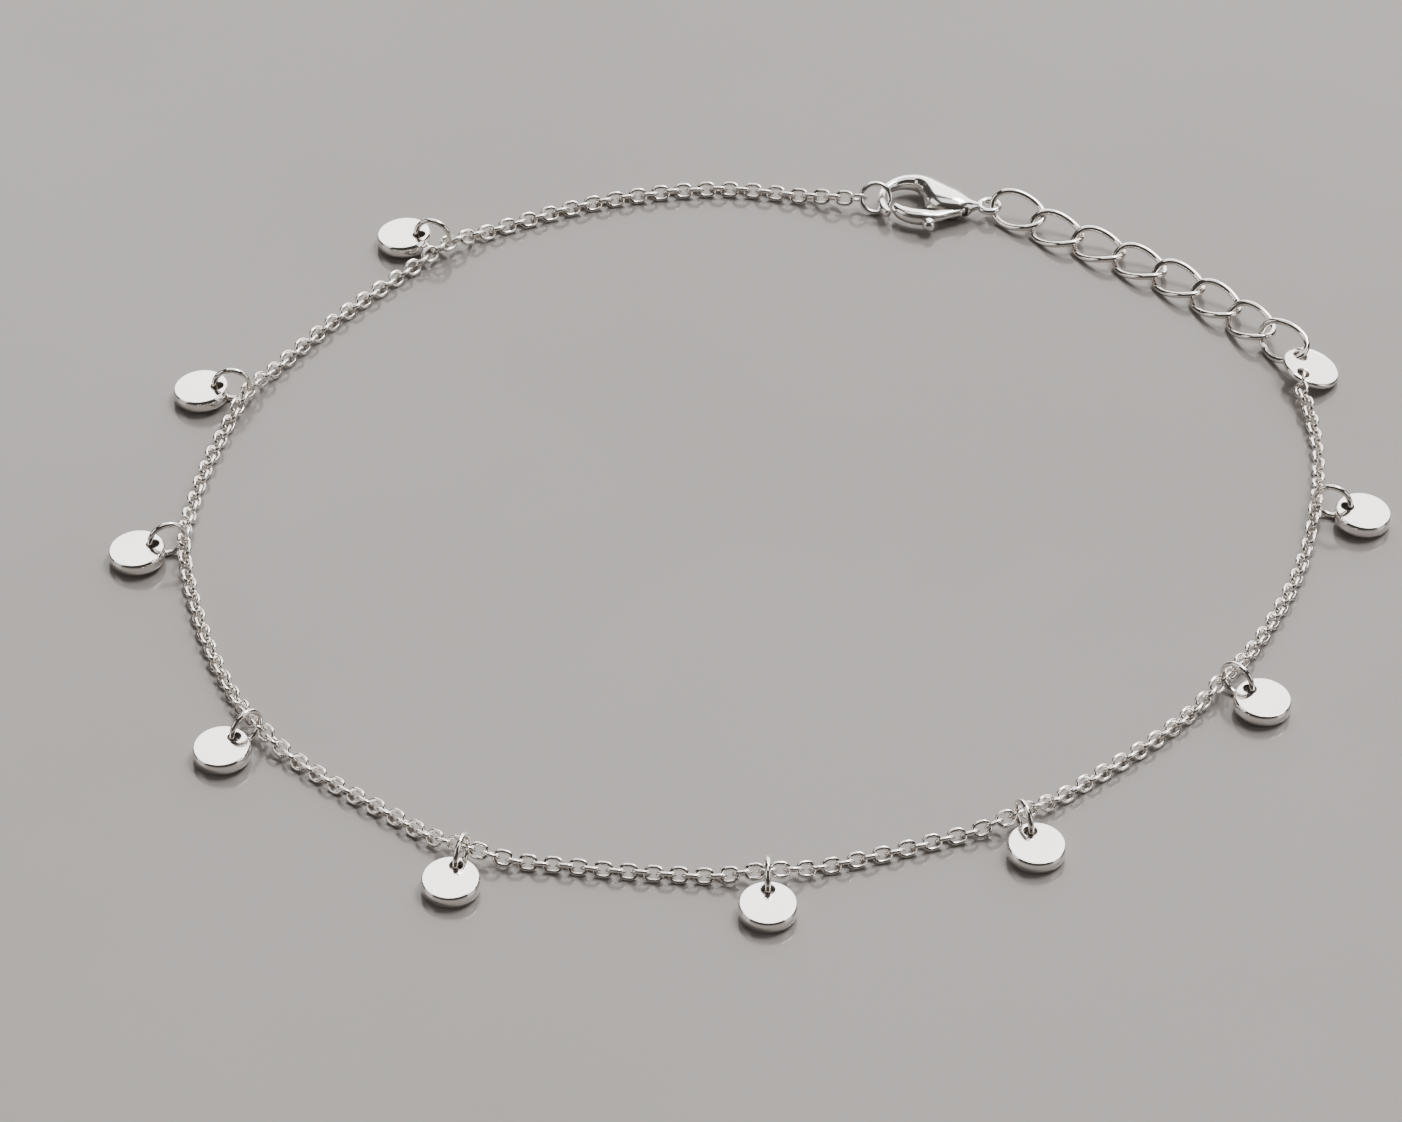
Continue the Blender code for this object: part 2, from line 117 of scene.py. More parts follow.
TAB_SIDES = 40
END_RING_RADIUS = 1.06
END_RING_WIRE = 0.19
END_RING_PLACE = (8.92, 38.13, 1.02)
END_RING_LEAN = math.radians(51.0)

# Charm places: centre x, centre y, direction of the hole in degrees
CHARMS = (
    (-25.45, 32.91, -16.0),
    (-39.20, 14.41, -3.0),
    (-42.63, -3.90, 18.0),
    (-35.62, -24.83, 45.0),
    (-19.80, -37.90, 73.0),
    (1.15, -39.96, 91.0),
    (18.97, -33.68, 111.0),
    (34.68, -18.36, 139.0),
    (42.63, 2.05, 164.0),
)

# Where the chain lies between the rings: x, y
CHAIN_BETWEEN = (
    ((-1.7, 39.7), (-9.1, 38.6), (-16.0, 35.9)),
    ((-27.4, 26.6), (-32.0, 20.6)),
    ((-37.8, 8.7), (-39.0, 3.0)),
    ((-38.3, -9.6), (-36.3, -16.2)),
    ((-29.0, -27.0), (-24.1, -30.9)),
    ((-12.2, -35.9), (-5.6, -36.6)),
    ((6.9, -35.0), (12.4, -32.9)),
    ((23.1, -26.2), (28.0, -21.5)),
    ((35.5, -10.2), (38.0, -3.8)),
    ((39.9, 8.5), (39.7, 12.6)),
)
CHAIN_START = (6.62, 38.27, 0.87)
CHAIN_END = (39.07, 15.92, 1.02)

# The fine chain's two end links: x, y, z, heading, lean, pitch in degrees
FINE_ENDS = {
    "chain_link_at_clasp": (7.64, 38.152, 1.02, 175.0, 58.4, 7.5),
    "chain_link_at_tag": (39.221, 16.929, 1.134, -99.6, 78.1, 4.1),
}

# Extension links from the claw's eye to the tag: x, y, z, heading, lean, pitch in degrees
EXTENSION = (
    (19.30, 36.68, 1.08, -28.7, 33.1, 4.0),
    (22.08, 34.73, 0.80, -32.5, 17.9, 1.3),
    (25.10, 32.88, 0.77, -33.7, 13.9, 0.4),
    (28.04, 30.90, 0.74, -35.0, 12.6, 1.5),
    (30.76, 28.79, 0.81, -40.1, 17.0, 1.1),
    (33.35, 26.42, 0.83, -45.9, 17.3, 0.6),
    (35.76, 23.76, 0.93, -51.9, 18.7, -1.9),
    (37.96, 21.07, 1.31, -45.0, 46.8, -2.5),
)

# Claw body from its neck round the hook to the tip: x, y, half width, half height
CLAW_BODY = (
    (3.24, 0.29, 0.30, 0.26),
    (2.85, 0.14, 0.50, 0.46),
    (2.20, -0.02, 0.93, 0.78),
    (1.40, 0.03, 1.25, 0.96),
    (0.60, 0.32, 1.31, 1.00),
    (-0.10, 0.94, 1.05, 0.98),
    (-0.75, 1.60, 0.78, 0.84),
    (-1.60, 2.02, 0.57, 0.66),
    (-2.60, 1.86, 0.47, 0.55),
    (-3.35, 1.28, 0.39, 0.46),
    (-3.80, 0.45, 0.33, 0.39),
    (-3.86, -0.35, 0.32, 0.37),
    (-3.68, -1.08, 0.35, 0.38),
    (-3.42, -1.66, 0.35, 0.38),
    (-3.07, -2.06, 0.30, 0.35),
)

# Lever from behind its pivot to its free end: x, y, half width, half height
CLAW_LEVER = (
    (2.32, -0.50, 0.24, 0.30),
    (2.00, -0.62, 0.46, 0.33),
    (1.30, -1.05, 0.48, 0.34),
    (0.50, -1.62, 0.49, 0.36),
    (-0.40, -2.00, 0.55, 0.56),
    (-1.30, -2.05, 0.53, 0.58),
    (-2.05, -1.82, 0.47, 0.54),
    (-2.50, -1.48, 0.38, 0.46),
    (-2.62, -1.24, 0.28, 0.38),
)
CLAW_SLOT = ((2.66, -3.2), (2.66, -0.12), (1.9, -0.08), (-1.3, -0.22), (-1.3, -3.2))
BAR_PIECES = 6  # smooth pieces between two rows of the claw's body or lever
BAR_SQUARE = 0.88  # 1 gives a round section and less a squarer one
SECTION_SIDES = 40
DOME_ROWS = 5
DOME_QUARTER = 5.4  # rows in a whole quarter turn, so that the dome keeps a small flat end
DOME_LENGTH = 0.55  # part of the end's half width

# Silver: what clouds and scratches add to the roughness, the tone of tarnish, the depth of dents
CLOUD_ROUGHNESS = 0.05
SCRATCH_ROUGHNESS = 0.10
TARNISH = 0.90
DENT_DEPTH = 0.00001

# Floor: side and front edge, back edge, in millimetres, then its tones and the depth of its grain
FLOOR_SIDE = 900
FLOOR_BACK = 2400
FLOOR_TONES = ((0.305, 0.283, 0.271, 1.0), (0.335, 0.313, 0.301, 1.0))
GRAIN_DEPTH = 0.00003

# Studio in metres: name, place, aim, size, watts, tint
LIGHTS = (
    ("window_panel", (0.25, 1.1, 0.95), (0, 0, 0), (1.9, 1.5), 31.0, (1.0, 0.98, 0.96)),
    ("overhead", (0.42, 0.40, 1.05), (0, 0, 0), (0.42, 0.36), 8.5, (1.0, 0.985, 0.965)),
    ("back_wall", (0.1, 1.9, 0.42), (0, 0, 0.42), (3.4, 0.8), 9.0, (1.0, 0.985, 0.965)),
    ("left_card", (-1.25, -0.25, 0.55), (0, 0, 0), (0.8, 0.8), 3.0, (1.0, 0.975, 0.95)),
    ("right_card", (1.25, -0.35, 0.55), (0, 0, 0), (0.8, 0.8), 3.6, (1.0, 0.975, 0.95)),
)
# The ceiling is seen in reflections alone. It throws no soft light.
CEILING = ("ceiling_card", (0.0, -0.05, 1.25), (0, 0, 0), (1.4, 0.62), 4.9, (1.0, 0.985, 0.965))
ROOM_TONE = (0.055, 0.050, 0.046, 1.0)

# Camera, in the layout's millimetres
CAMERA_PLACE = (-3.56, -435.613, 352.019)
CAMERA_DOWN = math.radians(39.1418)
CAMERA_ROLL = math.radians(-0.75)
CAMERA_LENS = 205.97
CAMERA_SENSOR = 36.0
CAMERA_NEAR = 0.05


class Sock:
    """A node socket that takes part in sums, differences and products."""

    def __init__(self, shade, socket):
        self.shade = shade
        self.socket = socket

    def math(self, operation, other, swap=False):
        parts = [other, self] if swap else [self, other]
        node = self.shade.tree.nodes.new("ShaderNodeMath")
        node.operation = operation
        for slot, value in zip(node.inputs, parts):
            self.shade.feed(slot, value)
        return Sock(self.shade, node.outputs[0])

    def __add__(self, other):
        return self.math("ADD", other)

    def __radd__(self, other):
        return self.math("ADD", other, swap=True)

    def __sub__(self, other):
        return self.math("SUBTRACT", other)

    def __rsub__(self, other):
        return self.math("SUBTRACT", other, swap=True)

    def __mul__(self, other):
        return self.math("MULTIPLY", other)

    def __rmul__(self, other):
        return self.math("MULTIPLY", other, swap=True)

    def clamp(self, low, high):
        return self.math("MAXIMUM", low).math("MINIMUM", high)

    def spread(self, low, high):
        """0 at low, 1 at high, smooth between."""
        node = self.shade.node("ShaderNodeMapRange", {"interpolation_type": "SMOOTHSTEP"},
                               {"Value": self, "From Min": low, "From Max": high})
        return node["Result"]


class Shade:
    """Builds one material's node tree."""

    def __init__(self, name):
        self.material = bpy.data.materials.new(name)
        self.material.use_nodes = True
        self.tree = self.material.node_tree
        self.shader = self.tree.nodes["Principled BSDF"]

    def feed(self, slot, value):
        if isinstance(value, Sock):
            self.tree.links.new(value.socket, slot)
        else:
            slot.default_value = value

    def node(self, kind, settings=None, inputs=None):
        made = self.tree.nodes.new(kind)
        for name, value in (settings or {}).items():
            setattr(made, name, value)
        for name, value in (inputs or {}).items():
            self.feed(made.inputs[name], value)
        return {out.name: Sock(self, out) for out in made.outputs}

    def place(self):
        return self.node("ShaderNodeTexCoord")["Object"]

    def noise(self, scale, detail, rough, where=None, warp=0.0):
        inputs = {"Scale": scale, "Detail": detail, "Roughness": rough, "Distortion": warp}
        inputs["Vector"] = where or self.place()
        return self.node("ShaderNodeTexNoise", None, inputs)["Fac"]

    def stretched(self, scale, turn):
        """Places drawn out along a turned axis, for scratches."""
        return self.node("ShaderNodeMapping", {"vector_type": "TEXTURE"},
                         {"Vector": self.place(), "Scale": scale, "Rotation": turn})["Vector"]

    def mix(self, share, low, high):
        node = self.tree.nodes.new("ShaderNodeMix")
        node.data_type = "RGBA"
        self.feed(node.inputs["Factor"], share)
        colours = [s for s in node.inputs if s.type == "RGBA"]
        self.feed(colours[0], low)
        self.feed(colours[1], high)
        return Sock(self, next(s for s in node.outputs if s.type == "RGBA"))

    def bump(self, height, strength, distance):
        return self.node("ShaderNodeBump", None,
                         {"Strength": strength, "Distance": distance, "Height": height})["Normal"]

    def set(self, **inputs):
        for name, value in inputs.items():
            self.feed(self.shader.inputs[name.replace("_", " ")], value)


def silver(name, base, rough, wear, scratch):
    """Silver with clouds of tarnish and roughness, scratches two ways and shallow dents."""
    shade = Shade(name)
    shade.set(Metallic=1.0)
    clouds = shade.noise(260.0, detail=4.0, rough=0.6, warp=0.4)
    fine = shade.noise(2600.0, detail=3.0, rough=0.6)
    dents = shade.noise(700.0, detail=2.0, rough=0.5)
    long_way = shade.stretched((0.06, 1.0, 1.0), (0.2, 0.4, 0.7))
    cross_way = shade.stretched((1.0, 0.05, 1.0), (0.5, 0.1, 1.3))
    lines = shade.noise(5200.0, detail=2.0, rough=0.5, where=long_way).spread(0.62, 0.72)
    other = shade.noise(4700.0, detail=2.0, rough=0.5, where=cross_way).spread(0.64, 0.74)
    marks = (lines + other).clamp(0.0, 1.0)
    tarnish = clouds.spread(0.52, 0.78)
    dull = tuple(c * TARNISH for c in base) + (1.0,)
    shade.set(Base_Color=shade.mix(tarnish * wear, (*base, 1.0), dull))
    dullness = clouds * (CLOUD_ROUGHNESS * wear) + marks * (SCRATCH_ROUGHNESS * scratch)
    shade.set(Roughness=(rough + dullness).clamp(0.02, 0.6))
    height = dents * 0.8 + fine * 0.08 - marks * 0.10 * scratch
    shade.set(Normal=shade.bump(height, 0.35 * wear, DENT_DEPTH))
    return shade.material


def floor_material():
    """Smooth pale floor in two near tones."""
    shade = Shade("pale_floor")
    soft = shade.noise(9.0, detail=5.0, rough=0.6)
    grain = shade.noise(420.0, detail=4.0, rough=0.65)
    tone = shade.mix(soft.spread(0.35, 0.65), *FLOOR_TONES)
    shade.set(Base_Color=tone, Roughness=(0.10 + soft * 0.06 + grain * 0.03))
    shade.set(Normal=shade.bump(grain, 0.15, GRAIN_DEPTH))
    return shade.material


def outward(obj):
    """Turns every face out by the sign of the enclosed volume."""
    mesh = obj.data
    volume = 0.0
    for face in mesh.polygons:
        volume += face.center.dot(face.normal) * face.area
    if volume < 0:
        mesh.flip_normals()
    return obj


def mesh_object(name, points, faces):
    """A smooth object from points in millimetres, at the origin."""
    mesh = bpy.data.meshes.new(name)
    mesh.from_pydata([Vector(p) * MM for p in points], [], faces)
    mesh.validate()
    mesh.shade_smooth()
    obj = bpy.data.objects.new(name, mesh)
    bpy.context.scene.collection.objects.link(obj)
    return outward(obj)


def turned(name, profile, steps):
    """A closed solid of revolution about Z from a profile that starts and ends on the axis."""
    points = [(0.0, 0.0, profile[0][1])]
    inner = profile[1:-1]
    for i in range(steps):
        a = 2 * math.pi * i / steps
        points += [(r * math.cos(a), r * math.sin(a), z) for r, z in inner]
    points.append((0.0, 0.0, profile[-1][1]))
    count = len(inner)
    faces = []
    for i in range(steps):
        a, b = 1 + i * count, 1 + (i + 1) % steps * count
        faces.append((0, a, b))
        faces += [(a + k, a + k + 1, b + k + 1, b + k) for k in range(count - 1)]
        faces.append((a + count - 1, len(points) - 1, b + count - 1))
    return mesh_object(name, points, faces)


def swept(name, centre_line, radius, sides=16):
    """A closed round wire along a closed line."""
    line = [Vector(p) for p in centre_line]
    count = len(line)
    middle = sum(line, Vector()) / count
    points = []
    for i, at in enumerate(line):
        along = (line[(i + 1) % count] - line[i - 1]).normalized()
        out = at - middle
        out = (out - along * out.dot(along)).normalized()
        up = along.cross(out)
        for k in range(sides):
            a = 2 * math.pi * k / sides
            points.append(at + radius * (math.cos(a) * out + math.sin(a) * up))
    faces = []
    for i in range(count):
        for k in range(sides):
            a, b, n = i * sides, (i + 1) % count * sides, (k + 1) % sides
            faces.append((a + k, b + k, b + n, a + n))
    return mesh_object(name, points, faces)


def oval(half_length, half_width, twist, count):
    """Points of a flat or twisted oval. Equal halves and no twist give a circle."""
    angles = [2 * math.pi * i / count for i in range(count)]
    return [(half_length * math.cos(a), half_width * math.sin(a), twist * math.sin(2 * a))
            for a in angles]


def link_turn(heading, lean, pitch):
    """A link's turn from degrees: about its length, up from the floor, then on its way."""
    return (
        Matrix.Rotation(math.radians(heading), 4, "Z")
        @ Matrix.Rotation(math.radians(pitch), 4, "Y")
        @ Matrix.Rotation(math.radians(lean), 4, "X")
    )


def moved(obj, at, turn=None):
    """Puts the mesh itself in place, so that the object stays at the origin."""
    where = Matrix.Translation((Vector(at) + SHIFT) * MM)
    obj.data.transform(where @ turn if turn is not None else where)
    return obj


def dress(obj, material, node, body="anklet", walls=None):
    """Gives a piece its silver, and its holes' walls the darker silver of painted shade, and puts it in
    the node's place.
    """
    places = [face.material_index for face in obj.data.polygons]
    obj.data.materials.clear()
    obj.data.materials.append(material)
    if walls is not None:
        obj.data.materials.append(walls)
        obj.data.polygons.foreach_set("material_index", places)
    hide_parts(node)
    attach(obj, body)
    return obj


def cut(obj, operation, other):
    tool = obj.modifiers.new(operation, "BOOLEAN")
    tool.operation = operation
    tool.solver = "EXACT"
    tool.object = other


def softened(obj, width):
    bevel = obj.modifiers.new("edges", "BEVEL")
    bevel.width = width * MM
    bevel.segments = 3
    bevel.limit_method = "ANGLE"
    bevel.angle_limit = math.radians(40.0)


def settled(obj, drop, sharp=35.0):
    """Applies the modifiers and removes the helpers that they used."""
    bpy.context.view_layer.update()
    graph = bpy.context.evaluated_depsgraph_get()
    mesh = bpy.data.meshes.new_from_object(obj.evaluated_get(graph))
    obj.modifiers.clear()
    obj.data = mesh
    for helper in drop:
        bpy.data.objects.remove(helper)
    work = bmesh.new()
    work.from_mesh(mesh)
    bmesh.ops.remove_doubles(work, verts=work.verts, dist=1e-7)
    work.to_mesh(mesh)
    work.free()
    mesh.shade_smooth()
    mesh.set_sharp_from_angle(angle=math.radians(sharp))
    return obj


def rounded_hole(radius, thickness, edge, flare):
    """Profile of a hole's cutter with rounded rims. A flare widens its lower part like a bell."""
    over = thickness + CUT_SPARE
    rows = [(0.0, over), (radius + edge + CUT_MARGIN, over)]
    for i in range(HOLE_ROUND_STEPS + 1):
        angle = math.pi / 2 * i / HOLE_ROUND_STEPS
        across = radius + edge * (1 - math.sin(angle))
        rows.append((across, thickness - edge * (1 - math.cos(angle))))
    if not flare:
        return rows + [(r, thickness - z) for r, z in reversed(rows)]
    for i in range(1, HOLE_ROUND_STEPS + 1):
        share = i / HOLE_ROUND_STEPS
        rows.append((radius + (flare - radius) * share**2, thickness * HOLE_BELL * (1 - share)))
    return rows + [(flare, -CUT_SPARE), (0.0, -CUT_SPARE)]


def arc(centre, radius, start, end, steps):
    """Points of an arc between two angles in degrees."""
    angles = [math.radians(start + (end - start) * i / steps) for i in range(steps + 1)]
    return [(centre[0] + radius * math.cos(a), centre[1] + radius * math.sin(a)) for a in angles]


def charm_profile():
    """Flat face, crisp rim, side that swells to the full radius and a rounded foot."""
    top, rim, foot = CHARM_THICKNESS, CHARM_RIM_ROUND, CHARM_BOTTOM_ROUND
    rows = [(0.0, top), *((radius, top) for radius in FACE_ROWS)]
    rows += arc((CHARM_FACE_RADIUS - rim, top - rim), rim, 90, 40, 3)
    rows += [(CHARM_RADIUS - inside, top - below) for inside, below in CHARM_SIDE]
    rows.append((CHARM_RADIUS, foot + CHARM_WAIST))
    rows += arc((CHARM_RADIUS - foot, foot), foot, 0, -90, 10)
    return rows + [(FOOT_ROW, 0.0), (0.0, 0.0)]


def plate_profile(radius, half, edge):
    """Half section of a flat plate with a rounded edge."""
    upper = [(0.0, half), (radius * 0.6, half)] + arc((radius - edge, half - edge), edge, 90, 0, 6)
    return upper + [(r, -z) for r, z in reversed(upper)]


def drilled(name, profile, holes, thickness, edge, base, flare=0.0):
    """A turned plate with rounded holes: each hole is radius, x, y. Their walls get a second material, a
    darker silver that paints the shade inside the holes.
    """
    plate = turned(name, profile, PLATE_SIDES)
    cutters = []
    for radius, x, y in holes:
        cutter = turned("hole", rounded_hole(radius, thickness, edge, flare), HOLE_SIDES)
        cutter.data.transform(Matrix.Translation(Vector((x, y, base)) * MM))
        cut(plate, "DIFFERENCE", cutter)
        cutters.append(cutter)
    settled(plate, cutters, sharp=50.0)
    # Faces of the holes' walls take the second material: darker silver as painted shade inside the holes
    for face in plate.data.polygons:
        steep = abs(face.normal.z) < WALL_STEEP
        for radius, x, y in holes:
            away = math.hypot(face.center.x / MM - x, face.center.y / MM - y)
            if away < radius + edge * WALL_ROUND or (steep and away < flare):
                face.material_index = 1
    return plate


def make_charms(material, wall_shade_material):
    lift = CHARM_BOTTOM_ROUND * (1 - math.cos(CHARM_TILT))
    lift += (CHARM_RADIUS - CHARM_BOTTOM_ROUND) * math.sin(CHARM_TILT)
    for number, (x, y, hole) in enumerate(CHARMS, 1):
        holes = ((HOLE_RADIUS, HOLE_REACH, 0.0),)
        disc = drilled(f"look_charm_{number}", charm_profile(), holes, CHARM_THICKNESS, HOLE_ROUND, 0.0,
                       HOLE_FLARE)
        moved(disc, (x, y, lift), Euler((0, -CHARM_TILT, math.radians(hole))).to_matrix().to_4x4())
        dress(disc, material, f"charm_{number}", walls=wall_shade_material)


def make_jump_rings(material):
    middle = RING_OUTER_RADIUS - RING_WIRE
    circle = [(x, 0.0, z) for x, z, _ in oval(middle, middle, 0.0, WIRE_STEPS)]
    for number, (x, y, hole) in enumerate(CHARMS, 1):
        a = math.radians(hole)
        at = (x + RING_REACH * math.cos(a), y + RING_REACH * math.sin(a), RING_OUTER_RADIUS)
        ring = swept(f"look_jump_ring_{number}", circle, RING_WIRE)
        moved(ring, at, Matrix.Rotation(a, 4, "Z"))
        dress(ring, material, f"jump_ring_{number}")


def make_extension(material, wall_shade_material):
    for number, (x, y, z, *turn) in enumerate(EXTENSION, 1):
        link = swept(f"look_extension_link_{number}", oval(*LINK, WIRE_STEPS), EXTENSION_WIRE)
        moved(link, (x, y, z), link_turn(*turn))
        dress(link, material, f"extension_link_{number}")
    holes = []
    for radius, reach, angle in TAG_HOLES:
        a = math.radians(angle)
        holes.append((radius, reach * math.cos(a), reach * math.sin(a)))
    half = TAG_THICKNESS / 2
    tag = drilled("look_tag", plate_profile(TAG_RADIUS, half, TAG_EDGE), holes, TAG_THICKNESS,
                  TAG_HOLE_ROUND, -half)
    moved(tag, TAG_PLACE, Euler(TAG_TURN).to_matrix().to_4x4())
    dress(tag, material, "tag_disc", walls=wall_shade_material)


def smooth_rows(rows, pieces):
    """Catmull-Rom points through rows of any width."""
    padded = [[2 * a - b for a, b in zip(rows[0], rows[1])], *rows,
              [2 * a - b for a, b in zip(rows[-1], rows[-2])]]
    line = []
    for i in range(1, len(padded) - 2):
        for k in range(pieces):
            t = k / pieces
            row = []
            for a, b, c, d in zip(*padded[i - 1 : i + 3]):
                value = b + t * (c - a) / 2 + t**2 * (2 * a - 5 * b + 4 * c - d) / 2
                row.append(value + t**3 * (3 * b - a - 3 * c + d) / 2)
            line.append(tuple(row))
    line.append(tuple(rows[-1]))
    return line


def lofted(name, rows):
    """A bent bar through the rows, with rounded-square sections and domed ends."""
    rows = smooth_rows(rows, BAR_PIECES)
    sides = SECTION_SIDES

    def domes(end, before):
        way = (Vector(end[:2]) - Vector(before[:2])).normalized()
        caps = []
        for k in range(1, DOME_ROWS + 1):
            a = math.pi / 2 * k / DOME_QUARTER
            x, y = Vector(end[:2]) + way * end[2] * DOME_LENGTH * math.sin(a)
            caps.append((x, y, end[2] * math.cos(a), end[3] * math.cos(a)))
        return caps

    rows = [*reversed(domes(rows[0], rows[1])), *rows, *domes(rows[-1], rows[-2])]
    points = []
    for i, (x, y, width, height) in enumerate(rows):
        before = Vector(rows[max(i - 1, 0)][:2])
        after = Vector(rows[min(i + 1, len(rows) - 1)][:2])
        along = (after - before).normalized()
        across = Vector((-along.y, along.x))
        for k in range(sides):
            angle = 2 * math.pi * (k + 0.5) / sides
            c, s = math.cos(angle), math.sin(angle)
            out = math.copysign(abs(c) ** BAR_SQUARE, c) * width
            up = math.copysign(abs(s) ** BAR_SQUARE, s) * height
            points.append((x + across.x * out, y + across.y * out, up))
    faces = []
    for i in range(len(rows) - 1):
        for k in range(sides):
            n = (k + 1) % sides
            a, b = i * sides, (i + 1) * sides
            faces.append((a + k, a + n, b + n, b + k))
    faces.append(tuple(reversed(range(sides))))
    faces.append(tuple(range((len(rows) - 1) * sides, len(rows) * sides)))
    return mesh_object(name, points, faces)


def prism(name, outline, half_height, at=(0.0, 0.0, 0.0)):
    """A straight block over an outline, as high above the place as below it."""
    count = len(outline)
    low = [(x + at[0], y + at[1], at[2] - half_height) for x, y in outline]
    high = [(x, y, at[2] + half_height) for x, y, _ in low]
    faces = [(k, (k + 1) % count, count + (k + 1) % count, count + k) for k in range(count)]
    faces.append(tuple(reversed(range(count))))
    faces.append(tuple(range(count, 2 * count)))
    return mesh_object(name, low + high, faces)


def round_bar(name, radius, half_height, at):
    outline = [(x, y) for x, y, _ in oval(radius, radius, 0.0, BAR_SIDES)]
    return prism(name, outline, half_height, at)


def make_clasp(body_material, lever_material):
    turn = Matrix.Rotation(CLASP_TURN, 4, "Z")
    body = lofted("look_clasp_body", CLAW_BODY)
    slot = prism("slot", CLAW_SLOT, SLOT_HALF)
    ground = prism("ground", FLAT_CUT, FLAT_CUT_HALF, (0, 0, -CLASP_FLAT - FLAT_CUT_HALF))
    pin = round_bar("pin", PIN_RADIUS, PIN_HALF_LENGTH, (*PIVOT, 0))
    eye = swept("eye", oval(EYE_RADIUS, EYE_RADIUS, 0.0, EYE_STEPS), EYE_WIRE, EYE_SIDES)
    eye.data.transform(Matrix.Translation(Vector((*EYE_PLACE, 0)) * MM))
    cut(body, "DIFFERENCE", slot)
    cut(body, "DIFFERENCE", ground)
    cut(body, "UNION", pin)
    cut(body, "UNION", eye)
    softened(body, CLASP_EDGE)
    settled(body, (slot, ground, pin, eye))
    moved(body, CLASP_PLACE, turn)
    dress(body, body_material, "clasp_body")

    lever = lofted("look_clasp_lever", CLAW_LEVER)
    tab = turned("tab", arc((0.0, 0.0), TAB_RADIUS, 90, -90, TAB_STEPS), TAB_SIDES)
    tab.data.transform(Matrix.Translation(Vector(TAB_PLACE) * MM))
    bore = round_bar("bore", BORE_RADIUS, BORE_HALF_LENGTH, (*PIVOT, 0))
    cut(lever, "UNION", tab)
    cut(lever, "DIFFERENCE", bore)
    softened(lever, LEVER_EDGE)
    settled(lever, (tab, bore))
    moved(lever, CLASP_PLACE, turn)
    dress(lever, lever_material, "clasp_lever", "lever")

    circle = oval(END_RING_RADIUS, END_RING_RADIUS, 0.0, WIRE_STEPS)
    ring = swept("look_end_ring", circle, END_RING_WIRE)
    moved(ring, END_RING_PLACE, Matrix.Rotation(END_RING_LEAN, 4, "X"))
    dress(ring, body_material, "end_ring")


def chain_spans():
    """The chain's way from ring to ring, as lists of x and y, and where it crosses the rings."""
    reach = RING_REACH + (RING_OUTER_RADIUS - RING_WIRE) * math.sin(RING_THREAD)
    spans = []
    now = [Vector(CHAIN_START[:2])]
    crossings = []
    for number, (x, y, hole) in enumerate(CHARMS):
        now += [Vector(p) for p in CHAIN_BETWEEN[number]]
        a = math.radians(hole)
        cross = Vector((x, y)) + reach * Vector((math.cos(a), math.sin(a)))
        now.append(cross)
        spans.append(now)
        crossings.append(cross)
        now = [cross]
    now += [Vector(p) for p in CHAIN_BETWEEN[-1]]
    now.append(Vector(CHAIN_END[:2]))
    spans.append(now)
    return spans, crossings


def swell(distance):
    """How much of its rise the chain has this far from a ring or an end: 1 there, 0 far off."""
    if distance >= CROSS_RISE:
        return 0.0
    return 0.5 + 0.5 * math.cos(math.pi * distance / CROSS_RISE)


def chain_heights(spots, crossings):
    """Adds the height to the chain's way, which rises to its rings and ends."""
    top = RING_OUTER_RADIUS - (RING_OUTER_RADIUS - RING_WIRE) * math.cos(RING_THREAD)
    ends = ((Vector(CHAIN_START[:2]), CHAIN_START[2]), (Vector(CHAIN_END[:2]), CHAIN_END[2]))
    line = []
    for spot in spots:
        height = CHAIN_REST
        for cross in crossings:
            height += swell((spot - cross).length) * (top - CHAIN_REST)
        for end, level in ends:
            height += swell((spot - end).length) * (level - CHAIN_REST)
        line.append(Vector((*spot, height)))
    return line


def spaced(line, steps):
    """That many equal steps along a line of points."""
    lengths = [0.0]
    for a, b in zip(line, line[1:]):
        lengths.append(lengths[-1] + (b - a).length)
    spots = []
    at = 0
    for i in range(steps + 1):
        want = lengths[-1] * i / steps
        while at < len(line) - 2 and lengths[at + 1] < want:
            at += 1
        share = (want - lengths[at]) / (lengths[at + 1] - lengths[at])
        spots.append(line[at].lerp(line[at + 1], share))
    return spots


def link_places():
    """Centres of the chain's links, ring to ring, with an even number of links between two rings."""
    spans, crossings = chain_spans()
    rows = [spans[0][0]]
    cuts = [0]
    for span in spans:
        rows += span[1:]
        cuts.append(len(rows) - 1)
    pieces = CHAIN_PIECES
    smooth = [Vector(p) for p in smooth_rows([tuple(r) for r in rows], pieces)]
    centres = []
    for a, b in zip(cuts, cuts[1:]):
        line = chain_heights(smooth[a * pieces : b * pieces + 1], crossings)
        length = sum((q - p).length for p, q in zip(line, line[1:]))
        steps = 2 * round(length / LINK_PITCH / 2)
        spots = spaced(line, steps)
        centres += spots if not centres else spots[1:]
    return centres


